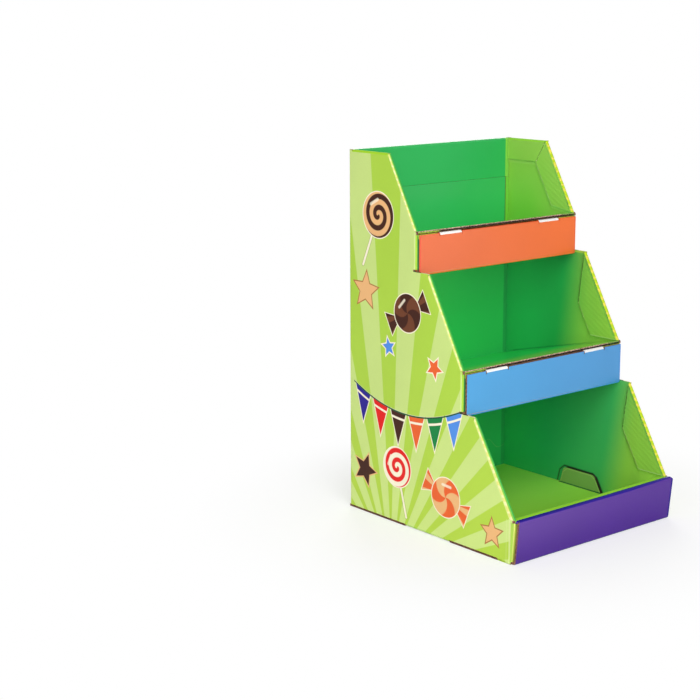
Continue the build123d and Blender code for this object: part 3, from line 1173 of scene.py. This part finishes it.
def as_rectangle(points, normal, area):
    """Centre, direction and length of a rectangle one board thick, or None.

    A rectangle's area is its length times its thickness, which no other shape of the same
    reach has. It is tried along the points' main axis, and towards the farthest point.
    """
    middle = points.mean(axis=0)
    flat = points - middle
    farthest = flat[np.argmax((flat**2).sum(axis=1))]
    _, _, axes = np.linalg.svd(flat - np.outer(flat @ normal, normal))
    for along in (axes[0], farthest):
        along = along - (along @ normal) * normal
        along = along / np.linalg.norm(along)
        across = np.cross(normal, along)
        s, t = flat @ along, flat @ across
        reach, thick = np.ptp(s), np.ptp(t)
        if abs(thick - BOARD) < 0.12 and abs(area / (reach * thick) - 1) < 0.01:
            centre = middle + along * (s.max() + s.min()) / 2
            return centre + across * (t.max() + t.min()) / 2, along, reach
    return None


print("a rectangle must be", BOARD, "mm thick")

# %% [markdown]
# Faces in one plane that share corners make one flat cut. A plane's name is its rounded
# normal and offset, so that tiny errors in the mesh don't part its faces.

# %% All the rectangular cut edges
NORMAL_STEPS, PLANES_PER_MM = 50, 5


def cut_rectangles(corners, faces, normals, areas, cut):
    """(face numbers, normal, centre, along, length) of every rectangular cut edge."""
    chosen = np.flatnonzero(cut)
    offset = (corners[faces[chosen, 0]] * normals[chosen]).sum(axis=1)
    plane = np.column_stack([normals[chosen] * NORMAL_STEPS, offset * PLANES_PER_MM])
    plane = np.round(plane).astype(int)
    group = np.unique(plane, axis=0, return_inverse=True)[1].reshape(-1)
    found = []
    for number in np.unique(group):
        members = chosen[group == number]
        label = islands(faces[members], len(corners))
        for name in np.unique(label):
            part = members[label == name]
            normal = normals[part[0]]
            points = corners[np.unique(faces[part])]
            shape = as_rectangle(points, normal, areas[part].sum())
            if shape:
                found.append((part, normal, *shape))
    return found


print("planes are told apart by", 1 / PLANES_PER_MM, "mm")

# %% [markdown]
# Ten columns run along the edge: rim, liner, pocket, wave, pocket, liner, rim. The wave's
# own columns follow a sine, and the pockets are 1.6 mm deep. Where the edge runs along the
# flutes the same wave is stretched very long, so that it shows as two slots.

# %% The relief of one raw edge
COLUMNS = np.array([-1.5, -1.2, -1.2, 0, 0, 0, 0, 1.2, 1.2, 1.5])  # mm from the middle
PAPER = np.array([0, 0, 0, -0.17, -0.17, 0.17, 0.17, 0, 0, 0])  # faces of the fluted paper
ON_WAVE = np.array([0, 0, 0, 1, 1, 1, 1, 0, 0, 0])
SUNK = np.array([0, 0, 1.6, 1.6, 0, 0, 1.6, 1.6, 0, 0])
SWING, PHASE = 0.85, 0.7  # mm to each side, and where the sine starts
FLUSH = 0.12  # mm at both ends
SLOT_PITCH = 90.0  # mm, for an edge that runs along the flutes


def fluted_relief(centre, along, normal, reach, pitch):
    """Corners and four-cornered faces of the relief over one rectangle.

    Column k stands at t_k across the board, sunk by h_k. The wave is
    0.85 sin(2 pi s / pitch), and its own columns lie 0.17 to either side of it. The
    first and last stations are flush, which closes the pockets' ends.
    """
    across = np.cross(normal, along)
    steps = max(4, int(np.ceil(reach / min(pitch / 6, 12.0))))
    pockets = np.linspace(FLUSH, reach - FLUSH, steps)
    s = np.concatenate([[0], pockets, [reach]])
    middle = SWING * np.sin(2 * np.pi * s / pitch + PHASE)
    t = COLUMNS + PAPER + ON_WAVE * middle[:, None]
    sunk = SUNK * np.ones_like(t)
    sunk[[0, -1]] = 0.0
    points = (
        centre
        + (s - reach / 2)[:, None, None] * along
        + t[:, :, None] * across
        - sunk[:, :, None] * normal
    ).reshape(-1, 3)
    rows, columns = t.shape
    first = (np.arange(rows - 1)[:, None] * columns + np.arange(columns - 1)).reshape(-1)
    quads = np.column_stack([first, first + columns, first + columns + 1, first + 1])
    return points, quads


def pitch_along(along, flutes):
    """Pitch seen on a cut: the flute pitch over the sine of the angle between them."""
    sine = np.linalg.norm(np.cross(along, flutes))
    return FLUTE / sine if sine > 0.2 else SLOT_PITCH


print("columns in a relief:", len(COLUMNS))

# %% [markdown]
# ## Dressing a sheet
#
# A packed sheet keeps its mesh, and a printed copy stands for it. The copy takes every
# face of the sheet as it is, apart from the rectangular cut edges, which get their relief.
# Edges shorter than 8 mm stay plain, because a wave would have no room on them.

# %% Dress a sheet
SHORT_EDGE = 8.0


def dress(node, materials, choose, flutes, bend=None):
    """A sheet's printed and fluted copy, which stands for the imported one.

    choose(x, depth, z, n, cut) gives each face's material, and flutes(centre, normal) the
    direction of the core's flutes at a cut edge. bend(points), if given, settles the sheet
    by a few millimetres after it is fluted.
    """
    corners, faces = merged_mesh(node)
    normals, areas = normals_of(corners, faces)
    cut = is_cut_edge(corners, faces, normals)
    middles = corners[faces].mean(axis=1)
    picked = choose(middles[:, 0], BACK - middles[:, 1], middles[:, 2], normals, cut)
    keep = np.ones(len(faces), bool)
    points, polygons, painted = [corners], [], []
    count = len(corners)
    rectangles = cut_rectangles(corners, faces, normals, areas, cut)
    for part, normal, centre, along, reach in rectangles:
        if reach < SHORT_EDGE:
            continue
        pitch = pitch_along(along, flutes(centre, normal))
        relief, quads = fluted_relief(centre, along, normal, reach, pitch)
        points.append(relief)
        polygons += (quads + count).tolist()
        painted.append(np.full(len(quads), picked[part[0]]))
        count += len(relief)
        keep[part] = False
    mesh = bpy.data.meshes.new(node + "_printed")
    kept = faces[keep].tolist()
    points = np.concatenate(points)
    if bend:
        points = bend(points)
    mesh.from_pydata((points * MM).tolist(), [], kept + polygons)
    for material in materials:
        mesh.materials.append(material)
    slots = np.concatenate([picked[keep]] + painted).astype(np.int32)
    mesh.polygons.foreach_set("material_index", slots)
    mesh.update()
    piece = add_object(node + "_printed", mesh)
    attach(piece, "root")
    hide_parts(node)
    print(node, len(kept), "flat faces,", len(painted), "fluted edges")
    return piece


print("edges from", SHORT_EDGE, "mm on are fluted")

# %% [markdown]
# ## Sheets that have settled
#
# Board never stands quite as it was drawn. The lip's crest rises at its right end, a flap
# leans out against the lip, and the fascias hang a little lower at their foot. Each of
# these is a small move of the finished points, far smaller than a fold.

# %% Bends of a few millimetres
LEAN = [108.0, 128.0, 149.0, 153.0], [0.0, 5.0, 5.0, 2.0]  # mm from the middle, mm forwards


def raise_lip(points):
    """The lip's right end rises by 2.2 mm z/59 over its last 90 mm."""
    x, depth, z = points[:, 0], BACK - points[:, 1], points[:, 2]
    outer = np.clip((depth - 322.5) / 4.5, 0, 1)
    moved = points.copy()
    moved[:, 2] += outer * np.clip((x - RISE_FROM) / RISE_RUN, 0, 1) * RISE * z / LIP_TOP
    return moved


def lean_flap(points):
    """The left flap leans out to the lip: 5 mm z/59 on its face, and 2 mm at its fold."""
    x, depth, z = points[:, 0], BACK - points[:, 1], points[:, 2]
    outer = np.clip((depth - 318.5) / 3.5, 0, 1) * (z < LIP_TOP + 1.0)
    moved = points.copy()
    moved[:, 1] -= outer * np.interp(-x, *LEAN) * np.clip(z / LIP_TOP, 0, 1)
    return moved


def stretch(low, high, new_low, new_high):
    """A bend that maps the heights low..high onto new_low..new_high."""

    def bend(points):
        moved = points.copy()
        moved[:, 2] = new_low + (points[:, 2] - low) * (new_high - new_low) / (high - low)
        return moved

    return bend


print("the lip rises by", RISE, "mm and the flap leans by", max(LEAN[1]), "mm")

# %% [markdown]
# ## The body
#
# Each sheet has one short function that says which material a face takes, from where it
# lies and which way it looks. The body has the most: two printed faces, three kinds of
# crease, and three kinds of cut edge. A later line of the function wins over an earlier.

# %% Dress the body
SIDE, WALL, REAR, LINING, SLOPE, CROWN, FLAP, RAW, TAB, HEM = range(10)


def choose_body(x, depth, z, n, cut):
    """Side print outside, wall print inside, creases over the folded-over edges."""
    side = abs(x)
    picked = np.full(len(x), WALL)
    outer = (side > HALF_WIDTH - 0.05) | ((depth < BOARD) & (side > HALF_WIDTH - 3.5))
    outer |= (n[:, 2] < -0.2) & (z < BOARD) & (side > 149)
    picked[outer] = SIDE
    picked[(depth < 0.05) & (n[:, 1] > 0.9)] = REAR
    picked[(depth < 7.0) & (side < 149.5) & (z > 450) & (n[:, 1] < 0.9)] = LINING
    over_fold = (n[:, 2] > 0.2) & (side > HEM_FACE - 0.1) & (side < HALF_WIDTH - 0.05)
    picked[over_fold & (z > LIP_TOP) & (n[:, 1] < 0.2) & (depth > 60)] = SLOPE
    picked[over_fold & (z > HEIGHT - 3.6) & (abs(n[:, 1]) < 0.05) & (depth > 6)] = CROWN
    picked[(n[:, 1] < -0.2) & (depth > 100) & (side > 112) & (n[:, 2] < 0.2)] = FLAP
    picked[cut] = RAW
    cut = cut & (side < 149.6)
    picked[cut & (z < 31.6) & (depth > 110) & (depth < 210)] = TAB
    picked[cut & (z > 33) & (depth > 5) & (depth < 320) & (n[:, 2] < -0.2)] = HEM
    return picked


def body_flutes(centre, normal):
    """Upright, but mirrored about the slope on the turned-in edges."""
    depth, z, side = BACK - centre[1], centre[2], abs(centre[0])
    if side < 149.6 and side > HEM_FACE and depth > 60 and z > 33:
        return np.array([0.0, -math.cos(HEM_FLUTES), math.sin(HEM_FLUTES)])
    return np.array([0.0, 0.0, 1.0])


body_materials = [
    side_print, wall_print, back_print, lining_print, slope_crease,
    crown_crease, flap_print, raw_edge, tab_rim_shadow, hem_rim,
]
dress("body", body_materials, choose_body, body_flutes, lean_flap)

# %% [markdown]
# ## The tray, the shelves and the fascias
#
# The other five sheets are simpler: print, a brown or white liner where the board is
# turned over, and the cut edges. A shelf's front edge has a material of its own, because
# it shows between a fascia and its shelf.

# %% Faces of the other sheets
PRINT, KRAFT, WHITE, CUT = range(4)
SHELF_CUT, SHELF_NOSE = 2, 3


def flutes_across(centre, normal):
    """The flutes run over the width."""
    return np.array([1.0, 0.0, 0.0])


def flutes_forward(centre, normal):
    """The flutes run forwards, down the slope of a shelf."""
    return np.array([0.0, 1.0, 0.3])


def choose_tray(x, depth, z, n, cut):
    """Print on every face that shows; brown liner inside the folds, white underneath."""
    picked = np.full(len(x), PRINT)
    hidden = ((n[:, 2] > 0.5) & (z < 3.2)) | ((n[:, 1] < -0.5) & (abs(depth - 319.1) < 0.5))
    hidden |= (n[:, 1] > 0.5) & ((depth > 320) | (abs(depth - 3.5) < 0.5))
    hidden |= (n[:, 2] < -0.5) & (z > 3.2)
    picked[hidden] = KRAFT
    picked[(n[:, 2] < -0.5) & (z < 0.3) & (depth < 322)] = WHITE
    picked[cut] = CUT
    return picked


def choose_shelf(x, depth, z, n, cut):
    """Print on top and on the lining's front; brown liner below and behind."""
    picked = np.full(len(x), PRINT)
    picked[(n[:, 2] < -0.3) | (n[:, 1] > 0.5)] = KRAFT
    picked[cut] = SHELF_CUT
    picked[cut & (n[:, 1] < -0.5)] = SHELF_NOSE
    return picked


def choose_fascia(front):
    """The front board is printed; the turned tabs show the white liner."""

    def choose(x, depth, z, n, cut):
        picked = np.full(len(x), KRAFT)
        picked[(depth > front + 4.1) | (n[:, 2] < -0.3)] = PRINT
        tab = (abs(x) > 74) & (abs(x) < 113.6)
        turned = tab & (z > z.max() - 6.2) & (depth < front + 4.15)
        picked[turned | (tab & (z > z.max() - 2.6))] = WHITE
        picked[cut] = CUT
        return picked

    return choose


print("materials of a shelf:", SHELF_NOSE + 1)

# %% [markdown]
# The two shelves share one rule, and so do the two fascias, so each pair is a loop. The
# orange fascia's cut edges carry ink, as the photograph shows.

# %% Dress the other sheets
tray_materials = [tray_print, kraft_liner, white_liner, raw_edge]
dress("base_tray", tray_materials, choose_tray, flutes_across, raise_lip)
shelf_materials = [shelf_print, kraft_liner, raw_edge, nose_edge]
for name in ("middle_shelf", "top_shelf"):
    dress(name, shelf_materials, choose_shelf, flutes_forward)
for name, front, printed, edge, packed, settled in (
    ("middle_fascia", MIDDLE_FRONT, blue_print, raw_edge, (179.2, 233.1), MIDDLE_FASCIA),
    ("top_fascia", TOP_FRONT, orange_print, orange_print, (354.6, 404.9), TOP_FASCIA),
):
    materials = [printed, kraft_liner, white_liner, edge]
    bend = stretch(*packed, *settled)
    dress(name, materials, choose_fascia(front), flutes_across, bend)

# %% [markdown]
# ## The studio
#
# The floor is pale and plain. It fades into the white background away from the stand, and
# keeps the stand's shadow. The fade is a glow for the camera alone, mixed in with the
# distance from the stand, so it adds no light to the object.

# %% Floor
FLOOR_HALF = 4.0
FADE_START, FADE_END = 0.15, 0.48  # metres from the middle of the stand


def make_floor():
    """A flat square, 8 m across, just under the stand."""
    mesh = bpy.data.meshes.new("floor")
    corners = np.array([[-1, -1], [1, -1], [1, 1], [-1, 1]]) * FLOOR_HALF
    points = np.column_stack([corners, np.full(4, -0.0002)])
    mesh.from_pydata(points.tolist(), [], [(0, 1, 2, 3)])
    floor = add_object("floor", mesh)
    material = bpy.data.materials.new("floor_paper")
    material.use_nodes = True
    tree = material.node_tree
    shader = tree.nodes["Principled BSDF"]
    shader.inputs["Base Color"].default_value = (0.95, 0.95, 0.95, 1)
    shader.inputs["Roughness"].default_value = 0.9
    shader.inputs["Specular IOR Level"].default_value = 0.1
    glow = add_node(tree, "Emission", {"Color": (1, 1, 1, 1)})
    x, y, _ = split(add_node(tree, "TexCoord", output="Object"))
    away = step(length(x, y), FADE_START, FADE_END)
    seen = add_node(tree, "LightPath", output="Is Camera Ray")
    inputs = {0: (away * 0.5 + 0.5) * seen, 1: Field(shader.outputs[0]), 2: glow}
    surface = add_node(tree, "MixShader", inputs)
    tree.links.new(surface.socket, tree.nodes["Material Output"].inputs["Surface"])
    mesh.materials.append(material)
    return floor


make_floor()
print("floor laid")

# %% [markdown]
# The light is an even sky, a broad lamp above the front, a low one that reaches into the
# tiers, a weak one on the left, and one behind for the back. Large square lamps give soft
# shadows, as in a product studio. What looks straight at the sky sees plain white.

# %% Sky and lamps
SKY = 0.3
LAMPS = {  # place, aim, size in metres, power in watts
    "key": ((-0.8, -1.5, 1.9), (0, 0, 0.2), 1.2, 28),
    "low_fill": ((-1.35, -1.95, 0.7), (0, 0, 0.25), 1.2, 25),
    "side": ((-2.4, -0.9, 1.1), (0, 0, 0.25), 1.4, 10),
    "behind": ((1.7, 2.0, 1.5), (0, 0, 0.25), 1.4, 32),
}

world = bpy.data.worlds.new("studio")
bpy.context.scene.world = world
world.use_nodes = True
tree = world.node_tree
tree.nodes.clear()
straight = ("Is Camera Ray", "Is Glossy Ray", "Is Transmission Ray")
seen = most(*[add_node(tree, "LightPath", output=kind) for kind in straight])
inputs = {"Color": (1, 1, 1, 1), "Strength": seen * (1 - SKY) + SKY}
sky = add_node(tree, "Background", inputs)
tree.links.new(sky.socket, tree.nodes.new("ShaderNodeOutputWorld").inputs["Surface"])


def add_lamp(name, place, aim, size, power):
    """A square soft lamp at a place, turned so that its -Z looks at the aim."""
    data = bpy.data.lights.new(name, "AREA")
    data.size = size
    data.energy = power
    lamp = add_object(name, data)
    lamp.location = place
    lamp.rotation_euler = (Vector(aim) - Vector(place)).to_track_quat("-Z", "Y").to_euler()
    return lamp


for name, details in LAMPS.items():
    add_lamp(name, *details)
bpy.context.scene.view_settings.view_transform = "Standard"
